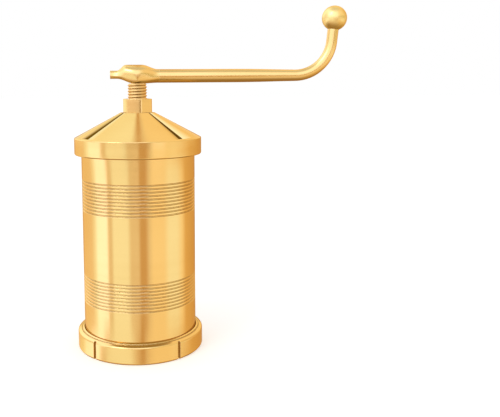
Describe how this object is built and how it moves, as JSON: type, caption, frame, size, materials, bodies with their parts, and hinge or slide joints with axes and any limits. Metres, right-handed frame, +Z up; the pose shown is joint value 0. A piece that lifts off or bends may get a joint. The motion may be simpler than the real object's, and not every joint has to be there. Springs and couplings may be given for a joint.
{
  "type": "sevai maker",
  "caption": "Hand-cranked screw press: grooved brass barrel between a base ring with a holed die and a conical cap, threaded spindle, press plate, bent crank with a ball knob.",
  "frame": {"origin": "centre of the outlet in the base ring's underside, on the barrel's axis, at floor level", "axes": "+Z up the barrel's axis, +X from the barrel's axis along the crank at rest, +Y away from the viewer's side"},
  "size_m": [0.1433, 0.066, 0.1782],
  "materials": {
    "barrel_brass": "turned and polished",
    "cap_brass": "turned and polished",
    "ring_brass": "turned and polished",
    "nut_brass": "milled flats",
    "spindle_brass": "cut thread",
    "handle_brass": "forged and buffed",
    "knob_brass": "turned and polished",
    "plate_brass": "turned",
    "die_brass": "drilled and brushed",
    "washer_brass": "stamped"
  },
  "bodies": {
    "base": {"base_ring": "ring_brass"},
    "die": {"die_plate": "die_brass"},
    "barrel": {"barrel": "barrel_brass"},
    "cap": {"top_cap": "cap_brass", "cap_nut": "nut_brass", "nut_backing_ring": "washer_brass"},
    "piston": {"press_plate": "plate_brass", "plate_boss": "plate_brass"},
    "crank": {"spindle": "spindle_brass", "handle_hub": "handle_brass", "handle_rod": "handle_brass", "ball_knob": "knob_brass", "thrust_washer": "washer_brass", "plate_washer": "washer_brass", "plate_nut": "nut_brass"}
  },
  "joints": [
    {"name": "barrel_lift", "type": "slide", "parent": "base", "child": "barrel", "axis": [0, 0, 1], "range_m": [0, 0.08]},
    {"name": "die_lift", "type": "slide", "parent": "base", "child": "die", "axis": [0, 0, 1], "range_m": [0, 0.04]},
    {"name": "cap_lift", "type": "slide", "parent": "barrel", "child": "cap", "axis": [0, 0, 1], "range_m": [0, 0.12]},
    {"name": "press_travel", "type": "slide", "parent": "cap", "child": "piston", "axis": [0, 0, 1], "range_m": [-0.0076, 0.0842]},
    {"name": "crank_turn", "type": "hinge", "parent": "piston", "child": "crank", "pos_m": [0, 0, 0.13], "axis": [0, 0, 1], "range_deg": [-1800, 20160]}
  ],
  "couplings": [
    {"joint": "press_travel", "follows": "crank_turn", "m_per_rad": 0.00023873},
    {"joint": "die_lift", "follows": "barrel_lift", "ratio": 0.5}
  ]
}
